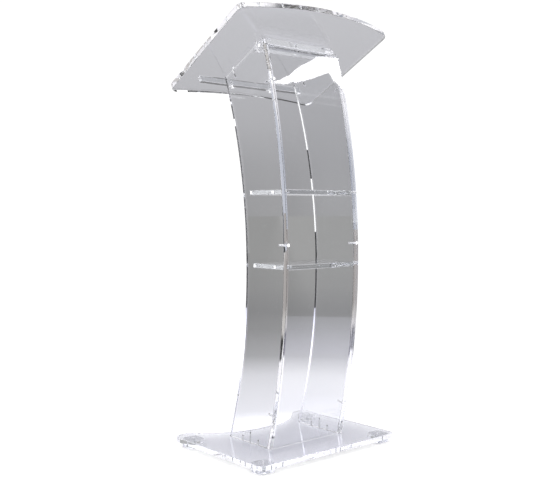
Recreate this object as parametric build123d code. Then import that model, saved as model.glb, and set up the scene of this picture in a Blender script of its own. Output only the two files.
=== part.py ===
from build123d import *
import math
import os

# A clear acrylic presentation lectern. +X is the reader's left-to-right width,
# -Y is the audience side, +Y is the reader's side and +Z is up. The origin is at
# the bottom centre of the whole object. All sizes are in millimetres.

os.makedirs("parts", exist_ok=True)

# ---- driving dimensions ----------------------------------------------------
sheet = 12.7                 # thickness of the base, the column's panels and the shelves
desk_sheet = 16.0            # thickness of the sloping reading desk
dry_gap = 0.1                # air film where two pieces are only screwed together
polish = 0.7                 # small polished bevel round every sheet edge

foot_height = 12.0
foot_size = 50.0
foot_corner = 14.0
foot_x = 215.0
foot_front_y = -158.5
foot_rear_y = 145.0

base_width = 500.0
base_depth = 387.0
base_waist_y = 100.0         # where the concave rear edge comes closest to the column
base_rear_radius = 255.0
base_front_corner = 22.0
base_rear_corner = 26.0
base_lobe_corner = 12.0

column_width = 267.0
front_radius = 2000.0        # the column's bow towards the audience, on its outer face
front_bow_height = 530.0     # height at which that face stands furthest forward
front_bow_y = -158.5
rear_radius = 1530.0         # the side panels' rear edge
rear_bow_height = 500.0
rear_bow_y = 8.5
front_panel_top = 1104.0

desk_slope = 28.2            # degrees, falling towards the reader
desk_under_z = 1089.0        # height of the desk's underside above the origin
desk_front_half = 272.0
desk_rear_half = 265.0
desk_front_corner_t = -158.0  # t runs down the slope, from the point above the origin
desk_front_apex_t = -197.5
desk_rear_corner_t = 211.0
desk_rear_middle_t = 189.0
desk_corner = 22.0

rail_bottom = 1088.0
rail_front_y = -60.5
rail_rear_y = -18.5

upper_shelf_top = 715.0
lower_shelf_top = 517.5
shelf_setback = 22.0         # from the side panels' rear edge to the shelf's rear edge

stop_length = 380.0
stop_thickness = 10.0
stop_height = 20.0
stop_t = 159.0
stop_end_radius = 3.0

shank_r = 2.5                # 5 mm countersunk socket screws
head_r = 4.6
head_rim = 0.5               # the head's straight edge, above its cone
head_recess = 0.4            # how far each head sits below the face
tip_point = 1.2
socket_r = 1.75
socket_sides = 6
socket_depth = 1.9
hole_play = 0.15             # radial room round a shank, and past its head
hole_spare = 4.0             # drilled depth past the screw's tip
drill_point = 0.6            # depth of the hole's pointed end, per millimetre of its radius
past_face = 1.0              # how far a cut starts outside the face it goes into

front_panel_screw_heights = (1008.0, 570.0, 112.0)
front_panel_screw_length = 30.0
front_base_screw_length = 50.0
side_base_screw_y = -5.0
side_base_screw_length = 43.0
shelf_screw_length = 35.0
shelf_screw_from_rear = 13.0  # from the shelf's rear edge
shelf_screw_from_front = 36.0  # from the front panel's inner face
desk_screw_ts = (-34.0, 80.0)
desk_screw_length = 38.0
desk_rail_screw_t = -40.0
desk_rail_screw_length = 28.0
rail_screw_y = -46.0
rail_screw_z = 1101.0
rail_screw_length = 35.0
stop_screw_x = 70.0
stop_screw_length = 28.0
foot_screw_length = 19.0

pin_r = 2.5                  # locating pins between the base and the side panels
pin_length = 24.0
pin_in_base = 9.0
pin_play = 0.1
pin_ys = (-38.0, 28.0)

base_top = foot_height + sheet
column_half = column_width / 2
panel_mid_x = column_half - sheet / 2
inner_half = column_half - sheet
slope = math.radians(desk_slope)
front_axis = (front_bow_y + front_radius, front_bow_height)
rear_axis = (rear_bow_y + rear_radius, rear_bow_height)
desk_plane = Plane(origin=(0, 0, desk_under_z), x_dir=(1, 0, 0),
                   z_dir=(0, math.sin(slope), math.cos(slope)))


def save(solids, name):
    """Write one node, from one solid or a list of separate solids."""
    shape = Compound(children=list(solids)) if isinstance(solids, list) else solids
    shape.label = name
    export_step(shape, f"parts/{name}.step")


def front_y(z, depth=0.0):
    """Y of the front panel at height z, depth millimetres in from its outer face."""
    return front_axis[0] - math.sqrt((front_radius - depth) ** 2 - (z - front_axis[1]) ** 2)


def rear_y(z):
    """Y of the side panels' rear edge at height z."""
    return rear_axis[0] - math.sqrt(rear_radius ** 2 - (z - rear_axis[1]) ** 2)


def desk_z(y):
    """Height of the desk's underside at y."""
    return desk_under_z - math.tan(slope) * y


def bevelled(solid, size=polish):
    """Break every edge of a sheet with the small polished bevel."""
    return chamfer(solid.edges(), size)


# ---- fasteners ---------------------------------------------------------------
def along(origin, direction):
    """A plane at a screw's head, with its Z pointing the way the screw is driven."""
    return Plane(origin=origin, z_dir=direction)


def turned(place, profile):
    """Revolve a list of (radius, depth) points about the screw's axis."""
    outline = make_face(Polyline(*[(r, d) for r, d in profile], close=True))
    return place * revolve(Plane.XZ * outline, Axis.Z)


def screw(place, length):
    """A countersunk socket screw whose head starts just below the face."""
    top = head_recess
    edge = top + head_rim
    tip = top + length
    body = turned(place, [(0, top), (head_r, top), (head_r, edge),
                          (shank_r, edge + head_r - shank_r), (shank_r, tip - tip_point),
                          (shank_r - tip_point, tip), (0, tip)])
    hexagon = RegularPolygon(socket_r, socket_sides)
    return body - place * Pos(0, 0, top) * extrude(hexagon, socket_depth)


def screw_hole(place, length):
    """The countersunk, drilled hole that the screw sits in, with its pointed end."""
    edge = head_recess + head_rim
    end = head_recess + length + hole_spare
    wide = head_r + hole_play
    drill = shank_r + hole_play
    return turned(place, [(0, -past_face), (wide, -past_face), (wide, edge),
                          (drill, edge + wide - drill), (drill, end),
                          (0, end + drill * drill_point)])


# Each group of screws: the head's centre, the driving direction and the length.
down_desk = (0, -math.sin(slope), -math.cos(slope))
into_stop = (0, math.sin(slope), math.cos(slope))


def on_desk(x, t, height):
    """A point on the desk: x across, t down the slope, height above the underside."""
    return desk_plane.from_local_coords((x, t, height))


def front_panel_screws(side):
    """Three screws through the front panel into one side panel's front edge."""
    group = []
    for z in front_panel_screw_heights:
        y = front_y(z)
        inward = Vector(0, front_axis[0] - y, front_axis[1] - z).normalized()
        group.append(((side * panel_mid_x, y, z), inward, front_panel_screw_length))
    return group


def shelf_screws(side, shelf_top):
    """Two screws through one side panel into the end of a shelf."""
    z = shelf_top - sheet / 2
    rear = rear_y(z) - shelf_setback - shelf_screw_from_rear
    front = front_y(z, sheet) + shelf_screw_from_front
    return [((side * column_half, y, z), (-side, 0, 0), shelf_screw_length)
            for y in (rear, front)]


def side_base_screws(side):
    """One screw up through the base into a side panel's bottom edge."""
    head = (side * panel_mid_x, side_base_screw_y, foot_height)
    return [(head, (0, 0, 1), side_base_screw_length)]


def front_base_screws():
    """Two screws up into the front panel's bottom edge, along the lean of the sheet."""
    z = base_top
    y = (front_y(z) + front_y(z, sheet)) / 2
    lean = Vector(0, z - front_axis[1], front_axis[0] - y).normalized()
    start = Vector(0, y, z) - lean * (sheet / lean.Z)
    return [((side * panel_mid_x, start.Y, foot_height), tuple(lean),
             front_base_screw_length) for side in (-1, 1)]


def desk_screws(side):
    """Two screws down through the desk into one side panel's top edge."""
    return [(tuple(on_desk(side * panel_mid_x, t, desk_sheet)), down_desk,
             desk_screw_length) for t in desk_screw_ts]


def desk_rail_screw():
    """One screw down through the desk into the middle of the rail."""
    head = on_desk(0, desk_rail_screw_t, desk_sheet)
    return [(tuple(head), down_desk, desk_rail_screw_length)]


def rail_screws(side):
    """One screw through a side panel into the end of the rail."""
    head = (side * column_half, rail_screw_y, rail_screw_z)
    return [(head, (-side, 0, 0), rail_screw_length)]


def stop_screws():
    """Two screws up through the desk into the book stop."""
    return [(tuple(on_desk(x, stop_t, 0)), into_stop, stop_screw_length)
            for x in (-stop_screw_x, stop_screw_x)]


def foot_screw(x, y):
    """One screw up through a foot into the base."""
    return [((x, y, 0), (0, 0, 1), foot_screw_length)]


def holes(solid, *groups):
    """Drill every screw of the groups through or into one piece."""
    for group in groups:
        for origin, direction, length in group:
            solid = solid - screw_hole(along(origin, direction), length)
    return solid


def screws(group):
    """The group's screws, as separate solids."""
    return [screw(along(origin, direction), length) for origin, direction, length in group]


def pin_places(side):
    """The two locating pins between the base and one side panel."""
    return [(side * panel_mid_x, y, base_top - pin_in_base) for y in pin_ys]


def pin(place, play=0.0):
    """A locating pin, or with play the bore that it sits in."""
    x, y, z = place
    stands_up = (Align.CENTER, Align.CENTER, Align.MIN)
    return Pos(x, y, z - play) * Cylinder(pin_r + play, pin_length + 2 * play, align=stands_up)


def pin_holes(solid, *panel_sides):
    """Bore one piece for the locating pins of the side panels named."""
    for side in panel_sides:
        for place in pin_places(side):
            solid = solid - pin(place, pin_play)
    return solid


# ---- sheet pieces ------------------------------------------------------------
def base_outline():
    """A rectangle with round corners and a concave arc cut from its rear edge."""
    half = base_width / 2
    deep = base_depth / 2
    centre_y = base_waist_y + base_rear_radius
    reach = math.sqrt(base_rear_radius ** 2 - (centre_y - deep) ** 2)
    corners = [(-reach, deep), (-half, deep), (-half, -deep), (half, -deep), (half, deep),
               (reach, deep)]
    rim = Polyline(*corners)
    waist = ThreePointArc((reach, deep), (0, base_waist_y), (-reach, deep))
    outline = make_face([*rim.edges(), waist])
    between = (reach + half) / 2
    rounding = [(base_front_corner, lambda v: v.Y < 0),
                (base_rear_corner, lambda v: v.Y > 0 and abs(v.X) > between),
                (base_lobe_corner, lambda v: deep - v.Y < 1 and abs(v.X) < between)]
    for radius, chosen in rounding:
        outline = fillet([v for v in outline.vertices() if chosen(v)], radius)
    return outline


def base_plate():
    """The base, drilled for the column's screws and pins and for the feet."""
    plate = bevelled(Pos(0, 0, foot_height) * extrude(base_outline(), sheet))
    plate = holes(plate, side_base_screws(-1), side_base_screws(1), front_base_screws(),
                  *[foot_screw(x, y) for x, y in foot_places.values()])
    return pin_holes(plate, -1, 1)


def foot(x, y):
    """A square pad with round corners under the base."""
    pad = Pos(x, y, 0) * extrude(RectangleRounded(foot_size, foot_size, foot_corner),
                                 foot_height - dry_gap)
    return holes(bevelled(pad), foot_screw(x, y))


def below_desk(lowest, gap):
    """The YZ window between a height and the desk's underside, less a gap."""
    far = base_depth
    drop = gap / math.cos(slope)
    return make_face(Polyline((-far, lowest), (far, lowest), (far, desk_z(far) - drop),
                              (-far, desk_z(-far) - drop), close=True))


def side_panel(side):
    """A side of the column, between two arcs, cut off under the desk."""
    bow = Pos(*front_axis) * Circle(front_radius - sheet - dry_gap)
    rear = Pos(*rear_axis) * Circle(rear_radius)
    outline = (bow - rear) & below_desk(base_top + dry_gap, dry_gap)
    panel = Plane.YZ * extrude(outline, sheet / 2, both=True)
    panel = bevelled(Pos(side * panel_mid_x, 0, 0) * panel)
    panel = holes(panel, front_panel_screws(side), shelf_screws(side, upper_shelf_top),
                  shelf_screws(side, lower_shelf_top), side_base_screws(side),
                  desk_screws(side), rail_screws(side))
    return pin_holes(panel, side)


def front_panel():
    """The bowed panel, its top edge cut square to the sheet."""
    ring = Pos(*front_axis) * (Circle(front_radius) - Circle(front_radius - sheet))
    top = Vector(front_y(front_panel_top), front_panel_top)
    to_axis = (Vector(*front_axis) - top).normalized() * column_width
    inner = top + to_axis
    outer = top - to_axis
    bottom = base_top + dry_gap
    window = make_face(Polyline((outer.X, bottom), (inner.X, bottom), (inner.X, inner.Y),
                                (outer.X, outer.Y), close=True))
    panel = bevelled(Plane.YZ * extrude(ring & window, column_half, both=True))
    return holes(panel, front_panel_screws(-1), front_panel_screws(1), front_base_screws())


def shelf(top):
    """A shelf between the side panels, up against the front panel's inner face."""
    front = max(front_y(top, sheet), front_y(top - sheet, sheet)) + dry_gap
    rear = rear_y(top - sheet / 2) - shelf_setback
    width = 2 * (inner_half - dry_gap)
    board = Pos(0, (front + rear) / 2, top - sheet / 2) * Box(width, rear - front, sheet)
    return holes(bevelled(board), shelf_screws(-1, top), shelf_screws(1, top))


def desk_rail():
    """The wedge-shaped bar under the desk that ties the side panels together."""
    depth = rail_rear_y - rail_front_y
    strip = Pos(rail_front_y + depth / 2, desk_under_z) * Rectangle(depth, column_width)
    outline = strip & below_desk(rail_bottom, dry_gap)
    rail = bevelled(Plane.YZ * extrude(outline, inner_half - dry_gap, both=True))
    return holes(rail, rail_screws(-1), rail_screws(1), desk_rail_screw())


def desk_outline():
    """The desk in its own plane: bowed front, hollow rear, rounded corners."""
    front = ThreePointArc((-desk_front_half, desk_front_corner_t), (0, desk_front_apex_t),
                          (desk_front_half, desk_front_corner_t))
    right = Line((desk_front_half, desk_front_corner_t), (desk_rear_half, desk_rear_corner_t))
    rear = ThreePointArc((desk_rear_half, desk_rear_corner_t), (0, desk_rear_middle_t),
                         (-desk_rear_half, desk_rear_corner_t))
    left = Line((-desk_rear_half, desk_rear_corner_t), (-desk_front_half, desk_front_corner_t))
    outline = make_face([front, right, rear, left])
    return fillet(outline.vertices(), desk_corner)


def reading_desk():
    """The sloping desk, on the side panels' top edges and the rail."""
    plate = bevelled(desk_plane * extrude(desk_outline(), desk_sheet))
    return holes(plate, desk_screws(-1), desk_screws(1), desk_rail_screw(), stop_screws())


def book_stop():
    """The bar near the desk's lower edge that holds papers."""
    bar = extrude(RectangleRounded(stop_length, stop_thickness, stop_end_radius),
                  stop_height)
    bar = bevelled(Pos(0, stop_t, desk_sheet + dry_gap) * bar)
    return holes(desk_plane * bar, stop_screws())


# ---- the nodes ---------------------------------------------------------------
sides = {"left": -1, "right": 1}
foot_places = {
    "front_left": (-foot_x, foot_front_y),
    "front_right": (foot_x, foot_front_y),
    "rear_left": (-foot_x, foot_rear_y),
    "rear_right": (foot_x, foot_rear_y),
}

save(base_plate(), "base_plate")
for place, (x, y) in foot_places.items():
    save(foot(x, y), f"foot_{place}")
    save(screws(foot_screw(x, y)), f"foot_screw_{place}")

for word, side in sides.items():
    save(side_panel(side), f"side_panel_{word}")
    save(screws(front_panel_screws(side)), f"front_panel_screws_{word}")
    save(screws(shelf_screws(side, upper_shelf_top)), f"upper_shelf_screws_{word}")
    save(screws(shelf_screws(side, lower_shelf_top)), f"lower_shelf_screws_{word}")
    save(screws(side_base_screws(side)), f"side_base_screw_{word}")
    save(screws(desk_screws(side)), f"desk_screws_{word}")
    save(screws(rail_screws(side)), f"rail_screw_{word}")
    save([pin(place) for place in pin_places(side)], f"locating_pins_{word}")

save(front_panel(), "front_panel")
save(screws(front_base_screws()), "front_base_screws")
save(shelf(upper_shelf_top), "upper_shelf")
save(shelf(lower_shelf_top), "lower_shelf")
save(desk_rail(), "desk_rail")
save(reading_desk(), "reading_desk")
save(screws(desk_rail_screw()), "desk_rail_screw")
save(book_stop(), "book_stop")
save(screws(stop_screws()), "book_stop_screws")
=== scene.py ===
import math

import bmesh
import bpy
import numpy as np
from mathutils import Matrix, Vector

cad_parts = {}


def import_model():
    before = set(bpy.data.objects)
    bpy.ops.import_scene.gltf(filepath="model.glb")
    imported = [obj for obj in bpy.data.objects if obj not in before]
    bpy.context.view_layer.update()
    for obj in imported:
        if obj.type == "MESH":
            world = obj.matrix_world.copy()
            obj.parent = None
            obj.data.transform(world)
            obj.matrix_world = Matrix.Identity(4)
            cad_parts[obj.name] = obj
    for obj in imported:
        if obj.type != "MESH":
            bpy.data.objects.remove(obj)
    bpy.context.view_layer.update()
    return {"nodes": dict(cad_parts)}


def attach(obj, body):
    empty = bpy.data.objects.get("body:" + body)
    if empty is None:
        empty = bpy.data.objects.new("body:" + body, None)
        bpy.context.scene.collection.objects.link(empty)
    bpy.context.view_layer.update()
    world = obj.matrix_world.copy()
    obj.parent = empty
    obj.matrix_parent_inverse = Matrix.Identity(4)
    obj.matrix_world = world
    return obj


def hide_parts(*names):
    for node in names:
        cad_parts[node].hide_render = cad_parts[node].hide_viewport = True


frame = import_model()

# A clear acrylic lectern in a small studio. Metres, +Z up, the reader stands at +Y.
# A direction is an azimuth from +X towards +Y and an elevation, both in degrees.

# ---- camera ------------------------------------------------------------------
CAMERA_AT = (-1.5731, -1.7793, 0.6583)
CAMERA_YAW = -0.718            # radians, from looking along +Y
CAMERA_PITCH = -0.021
CAMERA_LENS = 54.02            # millimetres on a 36 mm sensor
CAMERA_SHIFT_Y = -0.019

# ---- screws, in the CAD model's sizes apart from the bevel and the thread -----------
SHANK_RADIUS = 0.0025
HEAD_RADIUS = 0.0046
HEAD_RIM = 0.0005              # the head's straight edge, above its cone
RIM_BEVEL = 0.0002
TIP_POINT = 0.0012
SOCKET_RADIUS = 0.00175        # to the hexagon's corners
SOCKET_DEPTH = 0.0019
THREAD_PITCH = 0.0015
THREAD_DEPTH = 0.0005
RINGS_PER_TURN = 5
ROUND_STEPS = 18               # points round a screw, a multiple of the socket's six sides
SHARP_ANGLE = 35               # degrees
WELD_DISTANCE = 1e-6

STEEL_TONES = [(0.3, (0.93, 0.93, 0.95)), (0.7, (1.0, 1.0, 1.0))]
STEEL_ROUGHNESS = 0.2          # the least; the marks add up to as much again
# painted shade: the end of each screw node that its tips point to is coloured near black
PAINTED_TIP_SHADE = (0.03, 0.03, 0.03)
TIP_SHADE_START = 0.4                # from the node's middle, as a share of its length
TIPS = {"up": (0, 0, 1), "down": (0, 0, -1), "right": (1, 0, 0), "left": (-1, 0, 0),
        "back": (0, 1, 0)}

# ---- acrylic -------------------------------------------------------------------
DESK_SLOPE = 28.2              # degrees
FACE_COSINE = 0.9              # the least between a face's normal and the sheet's axis
BEVEL_COSINE = 0.5             # the same for a bevel
FACE_TINT = (0.985, 0.988, 0.995)
EDGE_TINT = (0.955, 0.97, 0.99)
EDGE_ROUGHNESS = 0.02
BEVEL_ROUGHNESS = 0.12
SPECK_RADIUS = 0.035           # as a share of the dust pattern's cells
SPECK_ROUGHNESS = 0.35
SAWN_ROUGHNESS = 0.6
SAWN_WHITENESS = 0.6           # the share of light that a sawn end scatters

# ---- studio: what the camera and scattered light see ----------------------------
WHITE = (1.08, 1.08, 1.08)
OVERHEAD = [(0, 0.85), (90, 1.15)]
FLOOR_SIZE = 160.0
FLOOR_HEIGHT = -0.0003         # just under the feet, so that the two surfaces stay apart
FLOOR_TINT = (0.85, 0.85, 0.855, 1.0)
FLOOR_ROUGHNESS = 0.8
FLOOR_LIFT = 0.28              # the near floor's own glow, which makes up for its shadows
FLOOR_LIFT_TINT = (1.0, 1.0, 1.3)
FLOOR_GLOW = (2.6, 2.6, 2.6)   # the far floor, to scattered light

# ---- studio: what the sheets show, by elevation or by metres from the middle --------
PLAIN = (1.0, 1.0, 1.0)
FLOOR_REACH = 10.0             # the floor's tones are even beyond this distance
BACKDROP = [(-2, (0.345, 0.345, 0.35)), (3, (0.38, 0.38, 0.395)), (6, (0.445, 0.445, 0.465)),
            (14, (0.54, 0.54, 0.567)), (50, (0.655, 0.655, 0.675))]
# painted light: the floor's glow through the sheets by distance, and its share against the lit
# floor
FAR_FLOOR = [(2.3, (0.31, 0.31, 0.316)), (3.1, (0.265, 0.265, 0.27)),
             (5.0, (0.31, 0.31, 0.31)), (10.0, (0.34, 0.34, 0.338))]
FAR_FLOOR_SHARE = [(0.26, 0.0), (0.4, 0.36), (1.0, 0.55), (1.44, 0.88), (2.27, 1.0)]
RIGHT = (-41, 0)               # the photograph's right, as a fixed direction
RIGHT_TONES = [(0.45, 0.807), (0.52, 0.877), (0.56, 1.0)]
RIGHT_GAIN = (1.14, 1.14, 1.14)
RIGHT_FADE = [(1, 1.0), (6, 0.0)]
FLOOR_RIGHT_DISTANCE = 4.0

# ---- studio: what the sheets mirror. A spot is its centre's direction, and the ----------
# ---- cosines where its edge starts and where it is full ----------------------------
CEILING = [(2, 0.33), (25, 0.45), (40, 1.0), (70, 1.2)]
WINDOW = (1.3, 1.3, 1.35)
WINDOW_SPOT = ((28, 12), 0.66, 0.76)
WALL_SPOT = ((-131, 20), 0.3, 0.7)
DARK_SPOTS = [((-48, 12), 0.86, 0.91), ((-24, 50), 0.90, 0.94)]
DARK = 0.02
DARK_SIDE = (-48, 0)
MIRRORED_SHARE = [(0.3, 0.0), (0.5, 1.0)]
FRONT_SHARE = [(0.05, 0.0), (0.3, 1.0)]
SIDE_FLOOR = [(0.35, 0.28), (0.65, (0.62, 0.62, 0.64))]
SIDE_FLOOR_TWICE = (1.1, 1.1, 1.15)
FRONT_FLOOR = [(0.3, (0.75, 0.75, 0.92)), (0.4, (0.95, 0.95, 1.0)), (0.6, (0.95, 0.95, 1.0)),
               (0.9, (0.75, 0.75, 0.92)), (1.3, (0.55, 0.55, 0.66)), (1.64, (0.36, 0.36, 0.42))]
FRONT_FLOOR_GAIN = (2.0, 2.0, 2.0)
DARK_EDGE = [(1.64, 1.0), (1.68, DARK)]

# ---- studio: what the sheets show after three or more reflections inside them -----------
EDGE_LIGHT = (1.08, 1.05, 1.08)
EDGE_SHARE = 0.85
EDGE_DARK = 0.03
EDGE_FADE = [(6, 1.0), (11, 0.0)]
EDGE_SPOT = (DARK_SIDE, 0.55, 0.8)
EDGE_SPOT_RIM = (0.45, 0.47, 0.54)
EDGE_FLOOR = (0.6, 0.57, 0.55)
EDGE_FLOOR_BACK = [(1.3, EDGE_LIGHT), (1.4, EDGE_DARK), (2.0, EDGE_DARK), (2.3, EDGE_FLOOR),
                   (2.9, EDGE_FLOOR), (3.6, (0.42, 0.39, 0.375))]
EDGE_FLOOR_FRONT = [(1.3, EDGE_LIGHT), (1.5, 0.4), (2.3, EDGE_FLOOR)]

# ---- studio: lights --------------------------------------------------------------
SOFTBOX_AIM = (-40, 29)
SOFTBOX_FROM = (0, -0.08, 1.0)
SOFTBOX_DISTANCE = 1.5
HIGH_GLOW = 12.0
LOW_GLOW = 2.4
INSIDE_GLOW = 1.3              # a softbox's glow as it is seen from inside a sheet
HIGH_OUTLINES = [
    [(0.104, -0.33), (0.42, -0.33), (0.42, 0.25), (0.124, 0.179), (0.104, 0.13)],
    [(0.104, 0.02), (0.104, 0.13), (-0.002, 0.101), (-0.18, 0.009), (-0.129, -0.018)]]
LOW_OUTLINES = [[(-0.10, -1.149), (0.3, -1.149), (0.3, -0.60), (0.0, -0.60)]]
TOP_LIGHT_AT = (-0.3, -0.3, 4.0)
TOP_LIGHT_SIZE = 3.0
TOP_LIGHT_WATTS = 40.0


# ---- shader nodes ----------------------------------------------------------------
def node(tree, kind, inputs=None, **settings):
    """A new shader node with its settings and its unlinked inputs set."""
    made = tree.nodes.new(kind)
    for name, value in settings.items():
        setattr(made, name, value)
    for name, value in (inputs or {}).items():
        made.inputs[name].default_value = value
    return made


def link(tree, source, target):
    tree.links.new(source, target)


def math_node(tree, operation, *values):
    """A maths node whose inputs are numbers or sockets; returns its output."""
    made = node(tree, "ShaderNodeMath", operation=operation)
    for socket, value in zip(made.inputs, values):
        if isinstance(value, (int, float)):
            socket.default_value = value
        else:
            link(tree, value, socket)
    return made.outputs[0]


def dot(tree, vector, fixed):
    """The dot product of a vector socket and a fixed direction."""
    made = node(tree, "ShaderNodeVectorMath", operation="DOT_PRODUCT")
    link(tree, vector, made.inputs[0])
    made.inputs[1].default_value = fixed
    return made.outputs["Value"]


def ramp(tree, factor, stops):
    """A colour ramp through (position, grey or colour) stops; returns its colour."""
    made = node(tree, "ShaderNodeValToRGB")
    elements = made.color_ramp.elements
    while len(elements) < len(stops):
        elements.new(0.5)
    for element, (position, colour) in zip(elements, stops):
        element.position = position
        tint = (colour,) * 3 if isinstance(colour, (int, float)) else colour
        element.color = (*tint, 1.0)
    link(tree, factor, made.inputs["Fac"])
    return made.outputs["Color"]


def mix_colour(tree, factor, first, second, blend="MIX"):
    """A colour mix; each input is a socket, a number or a colour. Returns its colour."""
    made = node(tree, "ShaderNodeMix", data_type="RGBA", blend_type=blend)
    for socket, value in ((made.inputs[0], factor), (made.inputs[6], first),
                          (made.inputs[7], second)):
        if isinstance(value, bpy.types.NodeSocket):
            link(tree, value, socket)
        elif isinstance(value, tuple):
            socket.default_value = (*value, 1.0)
        else:
            socket.default_value = value
    return made.outputs[2]


def times(tree, first, second):
    """Two colours multiplied."""
    return mix_colour(tree, 1.0, first, second, "MULTIPLY")


def reached(tree, path, kind, count):
    """1 on a light path that has had at least count bounces of a kind, else 0."""
    return math_node(tree, "GREATER_THAN", path.outputs[kind + " Depth"], count - 0.5)


def new_material(name):
    material = bpy.data.materials.new(name)
    material.use_nodes = True
    material.node_tree.nodes.clear()
    return material


def add_object(name, mesh):
    piece = bpy.data.objects.new(name, mesh)
    bpy.context.scene.collection.objects.link(piece)
    return piece


# ---- materials ----------------------------------------------------------------
def acrylic(name, face_axis, radial=False, sawn_ends=False):
    """Clear cast acrylic, with clear faces and sawn edges that were polished afterwards,
    apart from a shelf's ends, which stay matt. A radial sheet is bowed round its axis."""
    material = new_material(name)
    tree = material.node_tree
    out = node(tree, "ShaderNodeOutputMaterial")
    shader = node(tree, "ShaderNodeBsdfPrincipled",
                  {"IOR": 1.49, "Transmission Weight": 1.0, "Metallic": 0.0})
    place = node(tree, "ShaderNodeTexCoord")
    point = place.outputs["Object"]
    normal = place.outputs["Normal"]
    # faces against edges and bevels, by the sheet's own axis
    along = math_node(tree, "ABSOLUTE", dot(tree, normal, face_axis))
    if radial:
        along = math_node(tree, "SQRT", math_node(tree, "SUBTRACT", 1.0,
                                                  math_node(tree, "POWER", along, 2.0)))
    edge = math_node(tree, "LESS_THAN", along, FACE_COSINE)
    bevel = math_node(tree, "MULTIPLY", edge,
                      math_node(tree, "GREATER_THAN", along, BEVEL_COSINE))
    # the slow waviness of a cast sheet
    waves = node(tree, "ShaderNodeTexNoise", {"Scale": 5.0, "Detail": 1.0, "Roughness": 0.4})
    link(tree, point, waves.inputs["Vector"])
    # polishing marks on the edges, and dust specks on the faces
    marks = node(tree, "ShaderNodeTexNoise", {"Scale": 70.0, "Detail": 1.0, "Roughness": 0.5})
    link(tree, point, marks.inputs["Vector"])
    dust = node(tree, "ShaderNodeTexVoronoi", {"Scale": 55.0}, feature="F1")
    link(tree, point, dust.inputs["Vector"])
    speck = math_node(tree, "LESS_THAN", dust.outputs["Distance"], SPECK_RADIUS)
    rough_face = math_node(tree, "MULTIPLY", speck, SPECK_ROUGHNESS)
    rough_edge = math_node(tree, "MULTIPLY", marks.outputs["Fac"], EDGE_ROUGHNESS)
    rough_edge = math_node(tree, "MULTIPLY_ADD", bevel, BEVEL_ROUGHNESS, rough_edge)
    if sawn_ends:
        sideways = math_node(tree, "ABSOLUTE", dot(tree, normal, (1, 0, 0)))
        end = math_node(tree, "GREATER_THAN", sideways, FACE_COSINE)
        rough_edge = math_node(tree, "MULTIPLY_ADD", end, SAWN_ROUGHNESS, rough_edge)
        clear = math_node(tree, "MULTIPLY_ADD", end, -SAWN_WHITENESS, 1.0)
        link(tree, clear, shader.inputs["Transmission Weight"])
    rough = node(tree, "ShaderNodeMix", data_type="FLOAT")
    link(tree, edge, rough.inputs[0])
    link(tree, rough_face, rough.inputs[2])
    link(tree, rough_edge, rough.inputs[3])
    link(tree, rough.outputs[0], shader.inputs["Roughness"])
    link(tree, mix_colour(tree, edge, FACE_TINT, EDGE_TINT), shader.inputs["Base Color"])
    lift = node(tree, "ShaderNodeBump", {"Strength": 0.2, "Distance": 0.00012})
    link(tree, waves.outputs["Fac"], lift.inputs["Height"])
    grain = node(tree, "ShaderNodeBump", {"Distance": 0.00001})
    link(tree, edge, grain.inputs["Strength"])
    link(tree, marks.outputs["Fac"], grain.inputs["Height"])
    link(tree, lift.outputs["Normal"], grain.inputs["Normal"])
    link(tree, grain.outputs["Normal"], shader.inputs["Normal"])
    link(tree, shader.outputs[0], out.inputs["Surface"])
    return material


def steel(name, tip):
    """Bright plated screws and pins, with fine turning marks and painted shade on their tips.
    """
    material = new_material(name)
    tree = material.node_tree
    out = node(tree, "ShaderNodeOutputMaterial")
    shader = node(tree, "ShaderNodeBsdfPrincipled", {"Metallic": 0.1})
    place = node(tree, "ShaderNodeTexCoord")
    marks = node(tree, "ShaderNodeTexNoise", {"Scale": 900.0, "Detail": 2.0, "Roughness": 0.5})
    link(tree, place.outputs["Object"], marks.inputs["Vector"])
    middle = node(tree, "ShaderNodeVectorMath", operation="SUBTRACT")
    link(tree, place.outputs["Generated"], middle.inputs[0])
    middle.inputs[1].default_value = (0.5, 0.5, 0.5)
    # painted shade: the part of the node towards its tips is coloured near black
    end = math_node(tree, "GREATER_THAN", dot(tree, middle.outputs["Vector"], tip), TIP_SHADE_START)
    tone = ramp(tree, marks.outputs["Fac"], STEEL_TONES)
    link(tree, mix_colour(tree, end, tone, PAINTED_TIP_SHADE), shader.inputs["Base Color"])
    rough = math_node(tree, "MULTIPLY_ADD", marks.outputs["Fac"], STEEL_ROUGHNESS,
                      STEEL_ROUGHNESS)
    link(tree, rough, shader.inputs["Roughness"])
    lift = node(tree, "ShaderNodeBump", {"Strength": 0.3, "Distance": 0.00005})
    link(tree, marks.outputs["Fac"], lift.inputs["Height"])
    link(tree, lift.outputs["Normal"], shader.inputs["Normal"])
    link(tree, shader.outputs[0], out.inputs["Surface"])
    return material


def tip_of(name):
    """Which way the tips of a node's screws point."""
    if name.startswith("front_panel_screws"):
        return "back"
    if "shelf" in name or name.startswith("rail"):
        return "right" if name.endswith("left") else "left"
    if name.startswith("desk"):
        return "down"
    return "up"


def dress(metals):
    """Give every CAD node its material."""
    slope = math.radians(DESK_SLOPE)
    flat = acrylic("acrylic_level_sheet", (0, 0, 1))
    shelf = acrylic("acrylic_shelf", (0, 0, 1), sawn_ends=True)
    upright = acrylic("acrylic_side_sheet", (1, 0, 0))
    bowed = acrylic("acrylic_bowed_sheet", (1, 0, 0), radial=True)
    sloping = acrylic("acrylic_sloping_sheet", (0, math.sin(slope), math.cos(slope)))
    kinds = {"upper_shelf": shelf, "lower_shelf": shelf, "front_panel": bowed,
             "side_panel_left": upright, "side_panel_right": upright,
             "reading_desk": sloping, "book_stop": sloping}
    for name, piece in frame["nodes"].items():
        if "screw" in name or "pins" in name:
            material = metals[tip_of(name)]
        else:
            material = kinds.get(name, flat)
        for place in piece.material_slots:
            place.material = material


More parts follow.
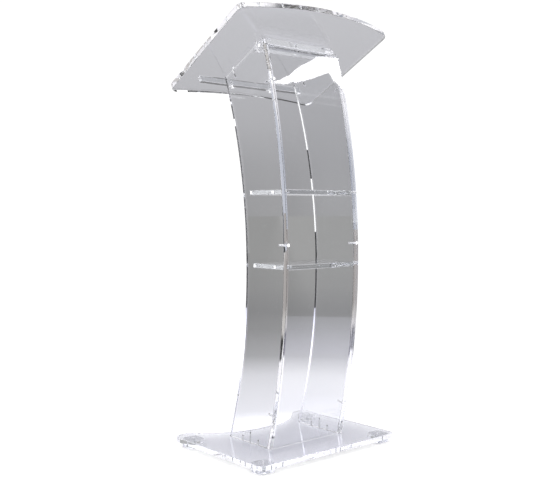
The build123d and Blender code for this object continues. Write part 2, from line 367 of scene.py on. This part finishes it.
# ---- threaded screws -------------------------------------------------------------
def hexagon(radius, angle):
    """How far a hexagon with corners at radius reaches at an angle from a corner."""
    side = math.pi / 3
    return radius * math.cos(side / 2) / math.cos(angle % side - side / 2)


def thread_radius(depth, angle, share):
    """A V thread's radius at a depth along the shank and an angle round it."""
    turn = (depth / THREAD_PITCH - angle / math.tau) % 1.0
    return SHANK_RADIUS - share * THREAD_DEPTH * abs(2 * turn - 1)


def screw_mesh(length):
    """One screw's points and faces: its head's face at the origin, driven along +Z."""
    angles = [math.tau * step / ROUND_STEPS for step in range(ROUND_STEPS)]
    cone_end = HEAD_RIM + HEAD_RADIUS - SHANK_RADIUS
    thread_end = length - TIP_POINT
    rings = [[(hexagon(SOCKET_RADIUS, angle), SOCKET_DEPTH) for angle in angles],
             [(hexagon(SOCKET_RADIUS, angle), 0.0) for angle in angles]]
    for radius, depth in ((HEAD_RADIUS - RIM_BEVEL, 0.0), (HEAD_RADIUS, RIM_BEVEL),
                          (HEAD_RADIUS, HEAD_RIM), (SHANK_RADIUS, cone_end)):
        rings.append([(radius, depth)] * ROUND_STEPS)
    count = round((thread_end - cone_end) / THREAD_PITCH * RINGS_PER_TURN)
    for ring in range(1, count):
        depth = cone_end + (thread_end - cone_end) * ring / count
        share = min(1.0, ring / RINGS_PER_TURN, (count - ring) / RINGS_PER_TURN)
        rings.append([(thread_radius(depth, angle, share), depth) for angle in angles])
    rings.append([(SHANK_RADIUS, thread_end)] * ROUND_STEPS)
    rings.append([(SHANK_RADIUS - TIP_POINT, length)] * ROUND_STEPS)
    points = [Vector((radius * math.cos(angle), radius * math.sin(angle), depth))
              for ring in rings for angle, (radius, depth) in zip(angles, ring)]
    faces = [list(range(ROUND_STEPS))]
    for ring in range(len(rings) - 1):
        start = ring * ROUND_STEPS
        for step in range(ROUND_STEPS):
            after = (step + 1) % ROUND_STEPS
            faces.append([start + step, start + ROUND_STEPS + step,
                          start + ROUND_STEPS + after, start + after])
    last = (len(rings) - 1) * ROUND_STEPS
    faces.append(list(range(last + ROUND_STEPS - 1, last - 1, -1)))
    return points, faces


def solids_of(mesh):
    """The separate solids in a CAD node's mesh, each as an array of its points."""
    shape = bmesh.new()
    shape.from_mesh(mesh)
    bmesh.ops.remove_doubles(shape, verts=shape.verts, dist=WELD_DISTANCE)
    left = set(shape.verts)
    solids = []
    for vertex in list(shape.verts):
        if vertex not in left:
            continue
        left.discard(vertex)
        found, queue = [], [vertex]
        while queue:
            current = queue.pop()
            found.append(current.co[:])
            for edge in current.link_edges:
                other = edge.other_vert(current)
                if other in left:
                    left.discard(other)
                    queue.append(other)
        solids.append(np.array(found))
    shape.free()
    return solids


def screw_place(points):
    """A CAD screw's head centre, the direction that it is driven in, and its length."""
    middle = points.mean(axis=0)
    axis = np.linalg.svd(points - middle, full_matrices=False)[2][0]
    depth = (points - middle) @ axis
    radius = np.linalg.norm(points - middle - np.outer(depth, axis), axis=1)
    if depth[radius.argmax()] > 0:
        axis, depth = -axis, -depth
    return Vector(middle + axis * depth.min()), Vector(axis), float(np.ptp(depth))


def threaded_screws(metals):
    """Screws with threads and sockets, in place of the CAD model's plain ones."""
    for name, cad in frame["nodes"].items():
        if "screw" not in name:
            continue
        points, faces = [], []
        for solid in solids_of(cad.data):
            head, axis, length = screw_place(solid)
            turn = axis.to_track_quat("Z", "Y")
            own_points, own_faces = screw_mesh(length)
            faces += [[len(points) + corner for corner in face] for face in own_faces]
            points += [head + turn @ point for point in own_points]
        mesh = bpy.data.meshes.new("threaded_" + name)
        mesh.from_pydata(points, [], faces)
        mesh.shade_smooth()
        mesh.set_sharp_from_angle(angle=math.radians(SHARP_ANGLE))
        mesh.materials.append(metals[tip_of(name)])
        piece = add_object("threaded_" + name, mesh)
        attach(piece, "root")
        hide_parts(name)


# ---- studio --------------------------------------------------------------------
def compass(azimuth, elevation):
    """The unit vector in a direction."""
    a, e = math.radians(azimuth), math.radians(elevation)
    return Vector((math.cos(a) * math.cos(e), math.sin(a) * math.cos(e), math.sin(e)))


def ramp_by_elevation(tree, height, stops):
    """A ramp over a direction's height, 0 straight down and 1 straight up, with its
    stops in degrees."""
    return ramp(tree, height, [(math.sin(math.radians(elevation)) / 2 + 0.5, colour)
                               for elevation, colour in stops])


def ramp_by_metres(tree, distance, stops):
    """A ramp over a distance on the floor, with its stops in metres."""
    share = math_node(tree, "DIVIDE", distance, FLOOR_REACH)
    return ramp(tree, share, [(metres / FLOOR_REACH, colour) for metres, colour in stops])


def ramp_by_spot(tree, sky, spot, outside=0.0, inside=1.0):
    """A ramp across the soft edge of a round spot of the sky."""
    centre, start, full = spot
    return ramp(tree, dot(tree, sky, compass(*centre)), [(start, outside), (full, inside)])


def lift_to_right(tree, vector, distance):
    """The backdrop and the floor before it grow a little lighter to the right. The vector
    is a direction, or a point on the floor that counts as this distance away."""
    across = math_node(tree, "MULTIPLY_ADD", dot(tree, vector, compass(*RIGHT)),
                       1.0 / distance, 0.5)
    return times(tree, ramp(tree, across, RIGHT_TONES), RIGHT_GAIN)


def world():
    """White to the camera, and even to scattered light. Straight through, the acrylic
    shows a grey, graded backdrop. It mirrors a lit ceiling, the lit wall that it was
    photographed from, a window behind it and two dark parts of the room."""
    made = bpy.data.worlds.new("studio")
    bpy.context.scene.world = made
    made.use_nodes = True
    tree = made.node_tree
    tree.nodes.clear()
    out = node(tree, "ShaderNodeOutputWorld")
    path = node(tree, "ShaderNodeLightPath")
    sky = node(tree, "ShaderNodeTexCoord").outputs["Generated"]
    split = node(tree, "ShaderNodeSeparateXYZ")
    link(tree, sky, split.inputs[0])
    height = math_node(tree, "MULTIPLY_ADD", split.outputs["Z"], 0.5, 0.5)
    # straight through the sheets
    low = ramp_by_elevation(tree, height, RIGHT_FADE)
    lift = mix_colour(tree, low, PLAIN, lift_to_right(tree, sky, 1.0))
    backdrop = times(tree, ramp_by_elevation(tree, height, BACKDROP), lift)
    # mirrored
    mirrored = ramp_by_elevation(tree, height, CEILING)
    window = math_node(tree, "MULTIPLY", ramp_by_spot(tree, sky, WINDOW_SPOT),
                       reached(tree, path, "Glossy", 2))
    mirrored = mix_colour(tree, window, mirrored, WINDOW)
    mirrored = mix_colour(tree, ramp_by_spot(tree, sky, WALL_SPOT), mirrored, WINDOW)
    for spot in DARK_SPOTS:
        mirrored = times(tree, mirrored, ramp_by_spot(tree, sky, spot, 1.0, DARK))
    # after many reflections inside a sheet
    dark_side = ramp_by_spot(tree, sky, EDGE_SPOT, EDGE_SPOT_RIM, EDGE_DARK)
    deep = mix_colour(tree, ramp_by_elevation(tree, height, EDGE_FADE), EDGE_LIGHT, dark_side)
    deep_share = math_node(tree, "MULTIPLY", reached(tree, path, "Glossy", 3), EDGE_SHARE)
    mirrored = mix_colour(tree, deep_share, mirrored, deep)
    seen = mix_colour(tree, reached(tree, path, "Glossy", 1), backdrop, mirrored)
    overhead = ramp_by_elevation(tree, height, OVERHEAD)
    seen = mix_colour(tree, reached(tree, path, "Diffuse", 1), seen, overhead)
    seen = mix_colour(tree, path.outputs["Is Camera Ray"], seen, WHITE)
    shade = node(tree, "ShaderNodeBackground", {"Strength": 1.0})
    link(tree, seen, shade.inputs["Color"])
    link(tree, shade.outputs[0], out.inputs["Surface"])


def near_floor(tree, path):
    """The pale floor that the lectern stands on."""
    shader = node(tree, "ShaderNodeBsdfPrincipled",
                  {"Base Color": FLOOR_TINT, "Roughness": FLOOR_ROUGHNESS,
                   "Specular IOR Level": 0.0, "Emission Strength": FLOOR_LIFT})
    glow = mix_colour(tree, path.outputs["Is Camera Ray"], FLOOR_LIFT_TINT, PLAIN)
    link(tree, glow, shader.inputs["Emission Color"])
    return shader


def mirrored_floor(tree, path, point, away):
    """The floor as the sheets mirror it, bright in front of the lectern as far as the dark
    part of the room. After three reflections it is the light along the sheets' edges."""
    front = ramp(tree, dot(tree, point, (0, -1, 0)), FRONT_SHARE)
    across = math_node(tree, "ADD", dot(tree, point, (0.5, 0, 0)), 0.5)
    side = mix_colour(tree, reached(tree, path, "Glossy", 2), ramp(tree, across, SIDE_FLOOR),
                      SIDE_FLOOR_TWICE)
    ahead = times(tree, ramp_by_metres(tree, away, FRONT_FLOOR), FRONT_FLOOR_GAIN)
    dark_edge = ramp_by_metres(tree, dot(tree, point, compass(*DARK_SIDE)), DARK_EDGE)
    lit = times(tree, mix_colour(tree, front, side, ahead), dark_edge)
    deep = mix_colour(tree, front, ramp_by_metres(tree, away, EDGE_FLOOR_BACK),
                      ramp_by_metres(tree, away, EDGE_FLOOR_FRONT))
    return mix_colour(tree, reached(tree, path, "Glossy", 3), lit, deep)


def floor():
    """A plain pale floor, white to the camera. Through the sheets it glows as painted light,
    which falls off behind the lectern to the backdrop's grey."""
    half = FLOOR_SIZE / 2
    mesh = bpy.data.meshes.new("floor")
    mesh.from_pydata([(-half, -half, FLOOR_HEIGHT), (half, -half, FLOOR_HEIGHT),
                      (half, half, FLOOR_HEIGHT), (-half, half, FLOOR_HEIGHT)],
                     [], [(0, 1, 2, 3)])
    piece = add_object("floor", mesh)
    material = new_material("pale_floor")
    tree = material.node_tree
    out = node(tree, "ShaderNodeOutputMaterial")
    path = node(tree, "ShaderNodeLightPath")
    point = node(tree, "ShaderNodeTexCoord").outputs["Object"]
    length = node(tree, "ShaderNodeVectorMath", operation="LENGTH")
    link(tree, point, length.inputs[0])
    away = length.outputs["Value"]
    bounced = reached(tree, path, "Glossy", 1)
    # painted light: the floor's glow, graded by distance from the lectern, stands in for the
    # studio light's fall-off
    distant = times(tree, ramp_by_metres(tree, away, FAR_FLOOR),
                    lift_to_right(tree, point, FLOOR_RIGHT_DISTANCE))
    colour = mix_colour(tree, bounced, distant, mirrored_floor(tree, path, point, away))
    # scattered by a screw or a sawn end, a ray finds the far floor bright
    colour = mix_colour(tree, reached(tree, path, "Diffuse", 1), colour, FLOOR_GLOW)
    colour = mix_colour(tree, path.outputs["Is Camera Ray"], colour, WHITE)
    far = node(tree, "ShaderNodeEmission", {"Strength": 1.0})
    link(tree, colour, far.inputs["Color"])
    share = mix_colour(tree, bounced, ramp_by_metres(tree, away, FAR_FLOOR_SHARE),
                       ramp_by_metres(tree, away, MIRRORED_SHARE))
    blend = node(tree, "ShaderNodeMixShader")
    link(tree, share, blend.inputs[0])
    link(tree, near_floor(tree, path).outputs[0], blend.inputs[1])
    link(tree, far.outputs[0], blend.inputs[2])
    link(tree, blend.outputs[0], out.inputs["Surface"])
    mesh.materials.append(material)


def softbox(name, glow, outlines):
    """Flat lights in front of the lectern, to the right, which its sheets mirror.
    Each outline is across and up, in metres, from the middle of their shared plane."""
    aim = compass(*SOFTBOX_AIM)
    across = Vector((0, 0, 1)).cross(aim).normalized()
    rise = aim.cross(across)
    middle = Vector(SOFTBOX_FROM) + aim * SOFTBOX_DISTANCE
    points, faces = [], []
    for outline in outlines:
        faces.append([len(points) + corner for corner in range(len(outline))])
        points += [middle + across * u + rise * v for u, v in outline]
    mesh = bpy.data.meshes.new(name)
    mesh.from_pydata(points, [], faces)
    piece = add_object(name, mesh)
    piece.visible_camera = False
    piece.visible_diffuse = False
    piece.visible_shadow = False
    material = new_material(name)
    tree = material.node_tree
    out = node(tree, "ShaderNodeOutputMaterial")
    light = node(tree, "ShaderNodeEmission", {"Color": (1.0, 1.0, 1.0, 1.0)})
    path = node(tree, "ShaderNodeLightPath")
    inside = reached(tree, path, "Transmission", 2)
    dimmed = math_node(tree, "MULTIPLY_ADD", inside, INSIDE_GLOW - glow, glow)
    link(tree, dimmed, light.inputs["Strength"])
    link(tree, light.outputs[0], out.inputs["Surface"])
    mesh.materials.append(material)


def top_light():
    """A large soft light overhead."""
    light = bpy.data.lights.new("top_light", "AREA")
    light.shape = "SQUARE"
    light.size = TOP_LIGHT_SIZE
    light.energy = TOP_LIGHT_WATTS
    lamp = bpy.data.objects.new("top_light", light)
    lamp.location = TOP_LIGHT_AT
    lamp.visible_camera = False
    bpy.context.scene.collection.objects.link(lamp)


def camera():
    lens = bpy.data.cameras.new("camera")
    lens.lens = CAMERA_LENS
    lens.shift_y = CAMERA_SHIFT_Y
    made = bpy.data.objects.new("camera", lens)
    made.location = CAMERA_AT
    made.rotation_euler = (math.pi / 2 + CAMERA_PITCH, 0, CAMERA_YAW)
    bpy.context.scene.collection.objects.link(made)
    bpy.context.scene.camera = made


def light_paths():
    """Enough bounces to see through every sheet of the column."""
    scene = bpy.context.scene
    scene.view_settings.view_transform = "Standard"
    paths = scene.cycles
    paths.max_bounces = 80
    paths.transmission_bounces = 40
    paths.glossy_bounces = 64
    paths.transparent_max_bounces = 16
    paths.sample_clamp_indirect = 10.0


metals = {way: steel("bright_steel_" + way, tip) for way, tip in TIPS.items()}
dress(metals)
threaded_screws(metals)
world()
floor()
softbox("softbox_high", HIGH_GLOW, HIGH_OUTLINES)
softbox("softbox_low", LOW_GLOW, LOW_OUTLINES)
top_light()
camera()
light_paths()
